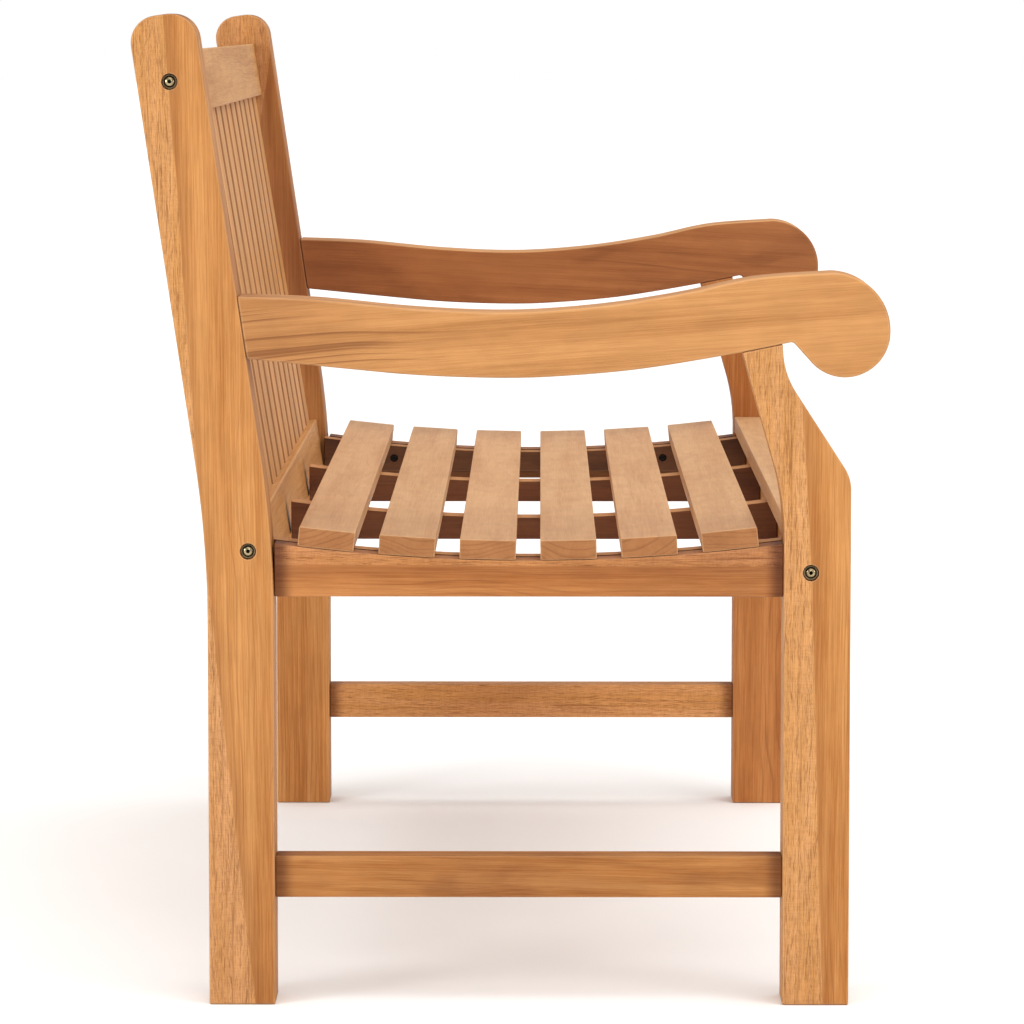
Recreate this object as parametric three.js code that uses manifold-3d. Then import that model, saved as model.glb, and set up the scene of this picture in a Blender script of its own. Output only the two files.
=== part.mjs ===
// Slatted two-seat garden bench in solid teak with scrolled arms.
// Millimetres, +Z up. X runs along the seat, the sitter faces -Y, the feet stand on z = 0.
// Side outlines are drawn as (forward, up) pairs, where forward = -Y.

import * as THREE from 'three';
import { mergeVertices } from 'three/addons/utils/BufferGeometryUtils.js';
import Module from 'manifold-3d';

const wasm = await Module();
wasm.setup();

// ---------------------------------------------------------------- driving dimensions
const LENGTH = 1200;              // overall length, outside to outside of the legs
const HEIGHT = 900;               // floor to the top of the back posts
const LEG_T = 50;                 // leg thickness along X
const LEG_W = 60;                 // leg width seen from the side
const GAP = 0.3;                  // clearance kept between neighbouring pieces
const EASE = 2;                   // arris taken off the long edges

const INNER = LENGTH / 2 - LEG_T; // inside face of the legs
const LEG_X = LENGTH / 2 - LEG_T / 2;

// back posts: straight below, leaning back above the seat
const POST_REAR = -275.4;         // rear face of the straight lower part
const POST_FRONT = POST_REAR + LEG_W;
const POST_RAKE = THREE.MathUtils.degToRad(8.38);
const POST_BEND_START = 352;      // height where the bend begins
const POST_BEND_R = 985;          // bend radius of the rear face
const POST_CROWN_R = 24.5;        // rounded corners at the top

// front posts
const FRONT_REAR = 246.6;
const FRONT_FRONT = 307;

// back panel: two rails and the upright slats in one leaning plane
const PANEL_RAKE = THREE.MathUtils.degToRad(9.17);
const PANEL_FOOT = { f: -238, z: 412.6 };     // centre line of the lower rail
const BOLT_RISE = 2.8;            // bolts sit this far above the rail centre lines
const RAIL_PITCH = 429.3;         // lower rail centre to top rail centre, along the lean
const TOP_RAIL_H = 58.5;
const TOP_RAIL_T = 25;
const LOW_RAIL_H = 54;
const LOW_RAIL_T = 27;
const BACK_SLATS = 14;
const BACK_SLAT_W = 52;
const BACK_SLAT_T = 13;
const SLAT_HOUSING = 10;          // depth the slat ends enter the rails

// seat
const DISH_R = 1750;              // radius of the dished seat
const DISH_F = 16;                // lowest line of the dish
const DISH_Z = 406.1;             // height of the bearers on that line
const SEAT_SLATS = 6;             // slats lying in the dish
const SEAT_SLAT_W = 51;
const SEAT_SLAT_T = 18;
const SEAT_FIRST = -169;          // centre of the rearmost slat
const SEAT_PITCH = 73.6;
const SEAT_SLAT_L = LENGTH - 2 * 10.5;
const FRONT_SLAT_Z = 443.9;       // top of the level front slat
const BEARER_Z0 = 384.3;          // underside of the bearers
const BEARER_T = 28;
const END_BEARER_T = 19;
const BEARER_REAR = -219.5;

const FRONT_RAIL = { f0: 260, f1: 282, z0: 367, z1: 425.6 };

// side frame
const SIDE_X = LENGTH / 2 - 25;   // centre line of aprons and stretchers
const APRON_T = 30;
const APRON_Z0 = 373.2;
const STRETCHER = { z0: 97, z1: 135, t: 28 };
const TENON_L = 18;
const TENON_T = 12;

// arms
const ARM_T = 50;

// hardware
const BOLT = { shaft: 3, head: 6.6, headH: 3.6, length: 82, socket: 1.9, socketDepth: 2 };
const SINK = { r: 7.5, depth: 5 };
const NUT = { r: 5, length: 15, inset: 30 };
const SCREW = { shaft: 2, head: 4, headH: 2.6, length: 44 };

// ---------------------------------------------------------------- materials
const paint = (name, color, roughness, metalness = 0) =>
  new THREE.MeshStandardMaterial({ name, color, roughness, metalness });
const TEAK_FRAME = () => paint('teak_frame', 0xd29350, 0.62);
const TEAK_ARM = () => paint('teak_arm', 0xcf8d4c, 0.58);
const TEAK_SEAT = () => paint('teak_seat', 0xd6a679, 0.6);
const TEAK_BACK = () => paint('teak_back', 0xcd9a62, 0.62);
const BRASS = () => paint('aged_brass', 0x8f7443, 0.35, 0.9);
const STEEL = () => paint('dark_steel', 0x3a3431, 0.45, 0.8);

// ---------------------------------------------------------------- helpers
// (forward, up, depth) of a drawn outline -> (X, Y, Z) of the bench, depth centred on x = 0
const SIDE_BASIS = new THREE.Matrix4().makeBasis(
  new THREE.Vector3(0, -1, 0), new THREE.Vector3(0, 0, 1), new THREE.Vector3(-1, 0, 0));

function extrudeAlongX(shape, length, ease = EASE, curveSegments = 12) {
  const bevel = ease > 0;
  const geometry = new THREE.ExtrudeGeometry(shape, {
    depth: length - 2 * ease,
    curveSegments,
    bevelEnabled: bevel,
    bevelSize: ease,
    bevelThickness: ease,
    bevelOffset: -ease,
    bevelSegments: 1,
  });
  geometry.translate(0, 0, ease - length / 2);
  return geometry.applyMatrix4(SIDE_BASIS);
}

// straight-edged bar with eased long edges, running along X
function bar(length, width, thickness, ease = EASE) {
  const w = width / 2;
  const t = thickness / 2;
  const outline = new THREE.Shape([
    [-w + ease, -t], [w - ease, -t], [w, -t + ease], [w, t - ease],
    [w - ease, t], [-w + ease, t], [-w, t - ease], [-w, -t + ease],
  ].map(([a, b]) => new THREE.Vector2(a, b)));
  return extrudeAlongX(outline, length, 0);
}

// box and round cutters, given by centre in (x, forward, z)
function block(x, f, z, lx, lf, lz) {
  return new THREE.BoxGeometry(lx, lf, lz).translate(x, -f, z);
}

function rod(axis, radius, length, x, f, z, segments = 24) {
  const geometry = new THREE.CylinderGeometry(radius, radius, length, segments);
  if (axis === 'x') geometry.rotateZ(Math.PI / 2);
  if (axis === 'z') geometry.rotateX(Math.PI / 2);
  return geometry.translate(x, -f, z);
}

function toSolid(geometry) {
  const bare = geometry.clone();
  bare.deleteAttribute('normal');
  bare.deleteAttribute('uv');
  const merged = mergeVertices(bare, 1e-4);
  return new wasm.Manifold(new wasm.Mesh({
    numProp: 3,
    vertProperties: new Float32Array(merged.attributes.position.array),
    triVerts: new Uint32Array(merged.index.array),
  }));
}

function toGeometry(solid) {
  const mesh = solid.getMesh();
  const geometry = new THREE.BufferGeometry();
  geometry.setAttribute('position', new THREE.BufferAttribute(mesh.vertProperties, 3));
  geometry.setIndex(new THREE.BufferAttribute(mesh.triVerts, 1));
  const flat = geometry.toNonIndexed();
  flat.computeVertexNormals();
  return flat;
}

function carve(base, { add = [], cut = [] }) {
  let solid = toSolid(base);
  for (const tool of add) solid = solid.add(toSolid(tool));
  for (const tool of cut) solid = solid.subtract(toSolid(tool));
  return toGeometry(solid);
}

// a tool seen from the leaning back panel, placed in the bench frame and back again
const panelMatrix = new THREE.Matrix4()
  .makeTranslation(0, -PANEL_FOOT.f, PANEL_FOOT.z)
  .multiply(new THREE.Matrix4().makeRotationX(-PANEL_RAKE));
const toPanel = panelMatrix.clone().invert();

const bench = new THREE.Group();
bench.name = 'garden_bench';

function place(parent, name, geometry, material, x = 0, y = 0, z = 0) {
  const mesh = new THREE.Mesh(geometry, material);
  mesh.name = name;
  mesh.position.set(x, y, z);
  parent.add(mesh);
  return mesh;
}

const SIDES = [['right', -1], ['left', 1]];

// ---------------------------------------------------------------- shared lines
// height of the dished bearer line at a forward position
function dish(f, lift = 0) {
  return DISH_Z + lift + DISH_R - Math.sqrt(DISH_R ** 2 - (f - DISH_F) ** 2);
}

// front face of the leaning part of the back post at a height
const T = Math.tan(POST_RAKE);
const bendCorner = POST_BEND_START + POST_BEND_R * Math.tan(POST_RAKE / 2);
function postFront(z) {
  return POST_REAR + LEG_W / Math.cos(POST_RAKE) - (z - bendCorner) * T;
}

// point on the centre plane of the leaning back panel
function onPanel(along) {
  return {
    f: PANEL_FOOT.f - along * Math.sin(PANEL_RAKE),
    z: PANEL_FOOT.z + along * Math.cos(PANEL_RAKE),
  };
}

// bolt axes in the side view: (forward, up)
const BOLTS = {
  top: onPanel(RAIL_PITCH + BOLT_RISE),
  rear: onPanel(BOLT_RISE),
  front: { f: (FRONT_RAIL.f0 + FRONT_RAIL.f1) / 2, z: 396 },
};

// countersink and shaft hole through a leg, in the leg's own frame
function boltHoles({ f, z }, side) {
  const outer = side * LEG_T / 2;
  return [
    rod('x', SINK.r, 2 * SINK.depth, outer, f, z, 28),
    rod('x', BOLT.shaft + 0.5, LEG_T + 4, 0, f, z, 16),
  ];
}

// ---------------------------------------------------------------- back posts
function backPostShape() {
  const cos = Math.cos(POST_RAKE);
  const sin = Math.sin(POST_RAKE);
  const centreF = POST_REAR - POST_BEND_R;
  const rFront = POST_BEND_R + LEG_W;
  // corner circles of the crown lie square to the lean; the front one reaches HEIGHT
  const half = LEG_W / 2 - POST_CROWN_R;
  const crownZ = HEIGHT - POST_CROWN_R;
  const onAxis = (across, along) => {
    const bendF = centreF + (POST_BEND_R + LEG_W / 2 + across) * cos;
    const bendZ = POST_BEND_START + (POST_BEND_R + LEG_W / 2 + across) * sin;
    return [bendF - along * sin, bendZ + along * cos];
  };
  const along = (crownZ - onAxis(half, 0)[1]) / cos;
  const frontCorner = onAxis(half, along);
  const rearCorner = onAxis(-half, along);
  const shape = new THREE.Shape();
  shape.moveTo(POST_REAR, 0);
  shape.lineTo(POST_FRONT, 0);
  shape.absarc(centreF, POST_BEND_START, rFront, 0, POST_RAKE, false);
  shape.absarc(...frontCorner, POST_CROWN_R, POST_RAKE, POST_RAKE + Math.PI / 2, false);
  shape.absarc(...rearCorner, POST_CROWN_R, POST_RAKE + Math.PI / 2, POST_RAKE + Math.PI, false);
  shape.absarc(centreF, POST_BEND_START, POST_BEND_R, POST_RAKE, 0, true);
  return shape;
}

const ARM_TENON = { z: 612, h: 34 };
const APRON_TENON = { z: 392, h: 26 };
const STRETCH_TENON = { z: (STRETCHER.z0 + STRETCHER.z1) / 2, h: 26 };
const POST_TENON = { f: 226, w: 22, h: 20 };

for (const [name, side] of SIDES) {
  const railX = side * (SIDE_X - LEG_X);
  const mortise = (z, h, f, t = TENON_T) =>
    block(railX, f, z, t + 2 * GAP, 2 * (TENON_L + GAP), h + 2 * GAP);
  const geometry = carve(extrudeAlongX(backPostShape(), LEG_T), {
    cut: [
      mortise(STRETCH_TENON.z, STRETCH_TENON.h, POST_FRONT),
      mortise(APRON_TENON.z, APRON_TENON.h, POST_FRONT),
      mortise(ARM_TENON.z, ARM_TENON.h, postFront(ARM_TENON.z)),
      ...boltHoles(BOLTS.rear, side),
      ...boltHoles(BOLTS.top, side),
    ],
  });
  place(bench, `back_post_${name}`, geometry, TEAK_FRAME(), side * LEG_X);
}

// ---------------------------------------------------------------- arms
// S-curved boards ending in a round scroll in front of the front post
const SCROLL = { f: 300.7, z: 614, r: 40.7 };
const CREST = { f: 289, z: 615.4, r: 52.4 };
const SCROLL_END = THREE.MathUtils.degToRad(-140);
const UNDER = [[253.7, 605.4], [200, 594.6], [116, 580.9], [44, 574.4], [-10, 572.8], [-83, 575.2], [-156, 581.7]];
const OVER = [[-176, 643.5], [-85, 635], [0, 632], [81, 637.6], [154, 648.8], [218, 662.5]];
const v2 = ([a, b]) => new THREE.Vector2(a, b);

function armShape(under = UNDER, over = OVER) {
  const shape = new THREE.Shape();
  const endLow = [postFront(590) + GAP, 590];
  const endHigh = [postFront(646.4) + GAP, 646.4];
  shape.moveTo(...endHigh);
  shape.lineTo(...endLow);
  shape.splineThru([...under].reverse().map(v2));
  shape.absarc(SCROLL.f, SCROLL.z, SCROLL.r, SCROLL_END, 0, false);
  shape.absarc(CREST.f, CREST.z, CREST.r, 0, Math.PI / 2, false);
  shape.splineThru([...over].reverse().map(v2));
  return shape;
}

// line of the arm underside at a forward position
function armUnder(f) {
  const i = UNDER.findIndex(([a]) => a < f);
  const [f0, z0] = UNDER[i - 1];
  const [f1, z1] = UNDER[i];
  return z0 + (z1 - z0) * (f - f0) / (f1 - f0);
}

for (const [name, side] of SIDES) {
  const railX = side * (SIDE_X - LEG_X);
  const endF = postFront(ARM_TENON.z);
  const geometry = carve(extrudeAlongX(armShape(), ARM_T, EASE, 9), {
    add: [block(railX, endF, ARM_TENON.z, TENON_T, 2 * (TENON_L - 2), ARM_TENON.h)],
    cut: [block(0, POST_TENON.f, armUnder(POST_TENON.f), TENON_T + 2 * GAP, POST_TENON.w + 2 * GAP,
      2 * (POST_TENON.h + GAP))],
  });
  place(bench, `arm_${name}`, geometry, TEAK_ARM(), side * LEG_X);
}

// ---------------------------------------------------------------- front posts
// straight leg, sloping back above the seat to a narrow neck under the arm
function filleted(points) {
  const shape = new THREE.Shape();
  shape.moveTo(points[0][0], points[0][1]);
  for (let i = 1; i < points.length; i++) {
    const [f, z, r] = points[i];
    if (!r) {
      shape.lineTo(f, z);
      continue;
    }
    const here = new THREE.Vector2(f, z);
    const back = v2(points[i - 1]).sub(here).normalize();
    const on = v2(points[(i + 1) % points.length]).sub(here).normalize();
    const angle = Math.acos(back.dot(on));
    const reach = r / Math.tan(angle / 2);
    const start = here.clone().addScaledVector(back, reach);
    const centre = here.clone().addScaledVector(back.clone().add(on).normalize(), r / Math.sin(angle / 2));
    const a0 = Math.atan2(start.y - centre.y, start.x - centre.x);
    const end = here.clone().addScaledVector(on, reach);
    const a1 = Math.atan2(end.y - centre.y, end.x - centre.x);
    const turn = back.cross(on) > 0;
    shape.absarc(centre.x, centre.y, r, a0, a1, turn);
  }
  return shape;
}

const frontTop = (f) => armUnder(f) - GAP;
const frontPostShape = () => filleted([
  [FRONT_REAR, 0],
  [FRONT_FRONT, 0],
  [FRONT_FRONT, 482.2, 38],
  [245.6, 577, 75],
  [244.6, frontTop(244.6)],
  [208.1, frontTop(208.1)],
  [FRONT_REAR, 462, 220],
]);

for (const [name, side] of SIDES) {
  const railX = side * (SIDE_X - LEG_X);
  const mortise = (z, h) =>
    block(railX, FRONT_REAR, z, TENON_T + 2 * GAP, 2 * (TENON_L + GAP), h + 2 * GAP);
  const geometry = carve(extrudeAlongX(frontPostShape(), LEG_T), {
    add: [block(0, POST_TENON.f, armUnder(POST_TENON.f) - 1, TENON_T, POST_TENON.w, 2 * (POST_TENON.h - 1))],
    cut: [
      mortise(STRETCH_TENON.z, STRETCH_TENON.h),
      mortise(APRON_TENON.z, APRON_TENON.h),
      ...boltHoles(BOLTS.front, side),
    ],
  });
  place(bench, `front_post_${name}`, geometry, TEAK_FRAME(), side * LEG_X);
}

// ---------------------------------------------------------------- aprons, stretchers and bearers
// board between two forward positions with the dished seat line as its top edge
function dishedShape(f0, f1, z0, lift = 0) {
  const shape = new THREE.Shape();
  const centreZ = DISH_Z + DISH_R + lift;
  const angle = (f) => -Math.PI / 2 + Math.asin((f - DISH_F) / DISH_R);
  shape.moveTo(f0, z0);
  shape.lineTo(f1, z0);
  shape.absarc(DISH_F, centreZ, DISH_R, angle(f1), angle(f0), true);
  return shape;
}

const SPAN = { f0: POST_FRONT + GAP, f1: FRONT_REAR - GAP };
const SCREWS = { rear: { f: -140, z: 398.4 }, front: { f: 165, z: 399 } };
const END_BEARER_X = INNER - 1.2 - END_BEARER_T / 2;

for (const [name, side] of SIDES) {
  const tenons = ({ z, h }) => [SPAN.f0, SPAN.f1].map((f, i) =>
    block(0, f + (i ? -1 : 1), z, TENON_T, 2 * (TENON_L - 1), h));
  const screwPilots = (x) => Object.values(SCREWS).map(({ f, z }) =>
    rod('x', SCREW.shaft + GAP, 48, x, f, z, 12));

  const apron = carve(extrudeAlongX(dishedShape(SPAN.f0, SPAN.f1, APRON_Z0), APRON_T), {
    add: tenons(APRON_TENON),
    cut: screwPilots(-side * 22),
  });
  place(bench, `side_apron_${name}`, apron, TEAK_FRAME(), side * SIDE_X);

  const height = STRETCHER.z1 - STRETCHER.z0;
  const length = SPAN.f1 - SPAN.f0;
  const stretcherShape = new THREE.Shape([
    [SPAN.f0, STRETCHER.z0], [SPAN.f0 + length, STRETCHER.z0],
    [SPAN.f0 + length, STRETCHER.z0 + height], [SPAN.f0, STRETCHER.z0 + height],
  ].map(v2));
  const stretcher = carve(extrudeAlongX(stretcherShape, STRETCHER.t), { add: tenons(STRETCH_TENON) });
  place(bench, `side_stretcher_${name}`, stretcher, TEAK_FRAME(), side * SIDE_X);

  const bearer = carve(extrudeAlongX(
    dishedShape(BEARER_REAR, FRONT_RAIL.f0 - GAP, BEARER_Z0), END_BEARER_T, 1), {
    cut: [
      ...screwPilots(0),
      ...Object.values(SCREWS).map(({ f, z }) =>
        rod('x', SCREW.head + 0.4, 8, -side * END_BEARER_T / 2, f, z, 16)),
    ],
  });
  place(bench, `seat_end_bearer_${name}`, bearer, TEAK_SEAT(), side * END_BEARER_X);
}

// two middle bearers with stub tenons in both seat rails
const STUB = { z: 409, h: 14, t: 12, l: 10 };
const MIDDLE_X = 188.3;
for (const [i, x] of [-MIDDLE_X, MIDDLE_X].entries()) {
  const stubs = [BEARER_REAR, FRONT_RAIL.f0].map((f, k) => {
    const from = k ? f - 4 : f - STUB.l - 6;
    const to = k ? f + STUB.l - GAP : f + 4;
    return block(0, (from + to) / 2, STUB.z, STUB.t, to - from, STUB.h);
  });
  const bearer = carve(extrudeAlongX(
    dishedShape(BEARER_REAR, FRONT_RAIL.f0 - GAP, BEARER_Z0), BEARER_T, 1), { add: stubs });
  place(bench, `seat_bearer_${i + 1}`, bearer, TEAK_SEAT(), x);
}

// shaft hole and rear-drilled nut hole in the end of a rail
function railEndHoles({ f, z }, thickness, side) {
  const nutX = side * (INNER - NUT.inset);
  const front = f + NUT.length / 2 + GAP;
  const back = f - thickness;
  return [
    rod('x', BOLT.shaft + 0.4, 100, side * INNER, f, z, 16),
    rod('y', NUT.r + 0.25, front - back, nutX, (front + back) / 2, z, 20),
  ];
}

// ---------------------------------------------------------------- front seat rail
const railLength = 2 * (INNER - GAP);
{
  const { f0, f1, z0, z1 } = FRONT_RAIL;
  const base = bar(railLength, f1 - f0, z1 - z0).translate(0, -(f0 + f1) / 2, (z0 + z1) / 2);
  const geometry = carve(base, {
    cut: [
      ...[-MIDDLE_X, MIDDLE_X].map((x) =>
        block(x, f0, STUB.z, STUB.t + 2 * GAP, 2 * (STUB.l + GAP), STUB.h + 2 * GAP)),
      ...SIDES.flatMap(([, side]) => railEndHoles(BOLTS.front, f1 - f0, side)),
    ],
  });
  place(bench, 'front_seat_rail', geometry, TEAK_FRAME());
}

// ---------------------------------------------------------------- back panel
const panel = new THREE.Group();
panel.applyMatrix4(panelMatrix);
bench.add(panel);

const slatPitch = 2 * INNER / BACK_SLATS - (2 * INNER / BACK_SLATS - BACK_SLAT_W) / (BACK_SLATS + 1);
const slatX = (i) => (i - (BACK_SLATS - 1) / 2) * slatPitch;
const slatLow = LOW_RAIL_H / 2 - SLAT_HOUSING;
const slatHigh = RAIL_PITCH - TOP_RAIL_H / 2 + SLAT_HOUSING;
const slatHousings = (from, to) => Array.from({ length: BACK_SLATS }, (_, i) =>
  block(slatX(i), 0, (from + to) / 2, BACK_SLAT_W + 2 * GAP, BACK_SLAT_T + 2 * GAP, to - from));
const panelEndHoles = (z, thickness) => SIDES.flatMap(([, side]) =>
  railEndHoles({ f: 0, z }, thickness, side));

{
  const lower = carve(bar(railLength, LOW_RAIL_T, LOW_RAIL_H), {
    cut: [
      ...slatHousings(slatLow - GAP, LOW_RAIL_H),
      ...panelEndHoles(BOLT_RISE, LOW_RAIL_T),
      ...[-MIDDLE_X, MIDDLE_X].map((x) =>
        block(x, BEARER_REAR - STUB.l / 2 - 6, STUB.z, STUB.t + 2 * GAP, STUB.l + 12 + 2 * GAP,
          STUB.h + 2 * GAP).applyMatrix4(toPanel)),
    ],
  });
  place(panel, 'lower_back_rail', lower, TEAK_BACK());

  const top = carve(bar(railLength, TOP_RAIL_T, TOP_RAIL_H).translate(0, 0, RAIL_PITCH), {
    cut: [
      ...slatHousings(RAIL_PITCH - TOP_RAIL_H, slatHigh + GAP),
      ...panelEndHoles(RAIL_PITCH + BOLT_RISE, TOP_RAIL_T),
    ],
  });
  place(panel, 'top_rail', top, TEAK_BACK());

  const slat = bar(slatHigh - slatLow, BACK_SLAT_T, BACK_SLAT_W).rotateY(Math.PI / 2);
  for (let i = 0; i < BACK_SLATS; i++) {
    const name = `back_slat_${String(i + 1).padStart(2, '0')}`;
    place(panel, name, slat, TEAK_BACK(), slatX(i), 0, (slatLow + slatHigh) / 2);
  }
}

// ---------------------------------------------------------------- seat slats
// six slats follow the dish, the seventh lies level on the front rail
{
  const slat = bar(SEAT_SLAT_L, SEAT_SLAT_W, SEAT_SLAT_T);
  for (let i = 0; i < SEAT_SLATS; i++) {
    const f = SEAT_FIRST + i * SEAT_PITCH;
    const tilt = Math.asin((f - DISH_F) / DISH_R);
    const lift = SEAT_SLAT_T / 2 + 0.5;
    const mesh = place(bench, `seat_slat_${i + 1}`, slat, TEAK_SEAT(),
      0, -f + lift * Math.sin(tilt), dish(f) + lift * Math.cos(tilt));
    mesh.rotation.x = -tilt;
  }
  const f = SEAT_FIRST + SEAT_SLATS * SEAT_PITCH;
  place(bench, `seat_slat_${SEAT_SLATS + 1}`, bar(railLength, SEAT_SLAT_W, SEAT_SLAT_T), TEAK_SEAT(),
    0, -f, FRONT_SLAT_Z - SEAT_SLAT_T / 2);
}

// ---------------------------------------------------------------- hardware
// domed socket-head bolt along +X with its head face at x = 0
function boltGeometry() {
  const { shaft, head, headH, length, socket, socketDepth } = BOLT;
  const profile = [
    [0, -socketDepth], [socket, -socketDepth], [socket, 0.2], [head * 0.5, 0],
    [head * 0.75, -0.7], [head * 0.93, -1.8], [head, -headH * 0.8], [head, -headH], [shaft, -headH],
    [shaft, -length + 1], [shaft - 1, -length], [0, -length],
  ].map(v2).reverse();
  return new THREE.LatheGeometry(profile, 24).rotateZ(-Math.PI / 2);
}

// cross-dowel nut lying along Y with the bolt passing through it
function nutGeometry() {
  const body = new THREE.CylinderGeometry(NUT.r, NUT.r, NUT.length, 20);
  return carve(body, { cut: [rod('x', BOLT.shaft + 0.25, 4 * NUT.r, 0, 0, 0, 16)] });
}

function screwGeometry() {
  const { shaft, head, headH, length } = SCREW;
  const profile = [
    [0, -1], [1.3, -1], [1.3, 0], [head, 0], [shaft, -headH], [shaft, -length + 6], [0, -length],
  ].map(v2).reverse();
  return new THREE.LatheGeometry(profile, 14).rotateZ(-Math.PI / 2);
}

const bolt = boltGeometry();
const nut = nutGeometry();
const screw = screwGeometry();

for (const [name, side] of SIDES) {
  for (const [which, { f, z }] of Object.entries(BOLTS)) {
    const headX = side * (LENGTH / 2 - SINK.depth + BOLT.headH + GAP);
    const mesh = place(bench, `bolt_${which}_${name}`, bolt, BRASS(), headX, -f, z);
    if (side < 0) mesh.rotation.z = Math.PI;
    const dowel = place(bench, `barrel_nut_${which}_${name}`, nut, BRASS(),
      side * (INNER - NUT.inset), -f, z);
    if (which !== 'front') dowel.rotation.x = -PANEL_RAKE;
  }
  for (const [which, { f, z }] of Object.entries(SCREWS)) {
    const x = side * (END_BEARER_X - END_BEARER_T / 2 + 1.3);
    const mesh = place(bench, `bearer_screw_${which}_${name}`, screw, STEEL(), x, -f, z);
    if (side > 0) mesh.rotation.z = Math.PI;
  }
}

export default bench;
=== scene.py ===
"""Slatted teak garden bench: the finished boards, fittings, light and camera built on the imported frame."""
import math
from math import cos, sin, tan, pi, radians

import bmesh
import bpy
from mathutils import Matrix, Vector


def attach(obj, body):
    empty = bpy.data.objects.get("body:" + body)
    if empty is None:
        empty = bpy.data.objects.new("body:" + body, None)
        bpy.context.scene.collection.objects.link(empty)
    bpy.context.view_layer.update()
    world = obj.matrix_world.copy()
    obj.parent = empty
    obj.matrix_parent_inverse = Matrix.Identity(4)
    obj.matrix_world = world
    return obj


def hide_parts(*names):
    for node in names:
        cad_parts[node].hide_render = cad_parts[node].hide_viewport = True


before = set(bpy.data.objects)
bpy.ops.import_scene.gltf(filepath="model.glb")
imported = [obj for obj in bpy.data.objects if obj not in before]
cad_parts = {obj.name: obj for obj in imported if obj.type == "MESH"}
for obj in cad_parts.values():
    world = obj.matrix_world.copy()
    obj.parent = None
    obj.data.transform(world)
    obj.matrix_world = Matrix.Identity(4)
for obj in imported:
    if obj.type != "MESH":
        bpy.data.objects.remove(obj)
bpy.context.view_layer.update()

MM = 0.001
SIDES = (("right", -1), ("left", 1))

# ---------------------------------------------------------------- sizes, in millimetres
LENGTH, HEIGHT = 1200, 900
LEG_T, LEG_W, GAP = 50, 60, 0.3
INNER, SIDE_X = 550, 575
POST_REAR, POST_RAKE = -275.4, radians(8.38)
POST_FRONT = POST_REAR + LEG_W
POST_BEND_START, POST_BEND_R, POST_CROWN_R = 352, 985, 24.5
FRONT_REAR, FRONT_FRONT = 246.6, 307
FRONT_KNEE_Z, FRONT_KNEE_R, REAR_KNEE_Z, REAR_KNEE_R = 482.2, 38, 462, 220
THROAT, NECK_FRONT, NECK_REAR = (245.6, 577, 75), 244.6, 208.1
PANEL_RAKE = radians(9.17)
PANEL_FOOT = (-238, 412.6)
BOLT_RISE, RAIL_PITCH = 2.8, 429.3
TOP_RAIL_H, TOP_RAIL_T, LOW_RAIL_H, LOW_RAIL_T = 58.5, 25, 54, 27
BACK_SLATS, BACK_SLAT_W, BACK_SLAT_T, SLAT_ENTRY = 14, 52, 13, 1
DISH_R, DISH_F, DISH_Z = 1750, 16, 406.1
SEAT_SLATS, SEAT_SLAT_W, SEAT_SLAT_T = 6, 51, 18
SEAT_FIRST, SEAT_PITCH, SEAT_SLAT_L, SLAT_LIFT, FRONT_SLAT_Z = -169, 73.6, 1179, 0.5, 443.9
BEARER_Z0, BEARER_T, END_BEARER_T, BEARER_REAR, MIDDLE_X = 384.3, 28, 19, -219.5, 188.3
RAIL_F0, RAIL_F1, RAIL_Z0, RAIL_Z1 = 260, 282, 367, 425.6
APRON_T, APRON_Z0 = 30, 373.2
STRETCH_Z0, STRETCH_Z1, STRETCH_T = 97, 135, 28
ARM_END_LOW, ARM_END_HIGH = 590, 646.4
SCROLL, CREST, SCROLL_END = (300.7, 614, 40.7), (289, 615.4, 52.4), radians(-140)
UNDER = [(253.7, 605.4), (200, 594.6), (116, 580.9), (44, 574.4), (-10, 572.8), (-83, 575.2), (-156, 581.7)]
OVER = [(-176, 643.5), (-85, 635), (0, 632), (81, 637.6), (154, 648.8), (218, 662.5)]
SINK_R, SINK_DEPTH, SINK_CHAMFER = 7.5, 5, 0.55
SCREW_SINK_R, SCREW_SINK_DEPTH, SCREW_BELOW = 4.4, 4, 1.3
HEAD_HEIGHT, SOCKET_R, SOCKET_DEPTH = 3.6, 1.9, 3
NUT_R, NUT_LENGTH, NUT_INSET = 5, 15, 30
END_BEARER_X = INNER - 1.2 - END_BEARER_T / 2
RAIL_LENGTH = 2 * (INNER - GAP)
BEND_CORNER = POST_BEND_START + POST_BEND_R * tan(POST_RAKE / 2)


def dish(f):
    """Height of the seat's hollow at a place along the depth."""
    return DISH_Z + DISH_R - math.sqrt(DISH_R ** 2 - (f - DISH_F) ** 2)


def post_front(z):
    """Front edge of the back post's leaning part."""
    return POST_REAR + LEG_W / cos(POST_RAKE) - (z - BEND_CORNER) * tan(POST_RAKE)


def on_panel(along):
    """Place on the middle plane of the back, measured up its slope."""
    return PANEL_FOOT[0] - along * sin(PANEL_RAKE), PANEL_FOOT[1] + along * cos(PANEL_RAKE)


BOLTS = {"top": on_panel(RAIL_PITCH + BOLT_RISE), "rear": on_panel(BOLT_RISE), "front": (271, 396)}
SCREWS = {"rear": (-140, 398.4), "front": (165, 399)}


# ---------------------------------------------------------------- outlines
def arc(cx, cz, r, a0, a1, steps):
    return [(cx + r * cos(a0 + (a1 - a0) * i / steps), cz + r * sin(a0 + (a1 - a0) * i / steps))
            for i in range(steps + 1)]


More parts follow.
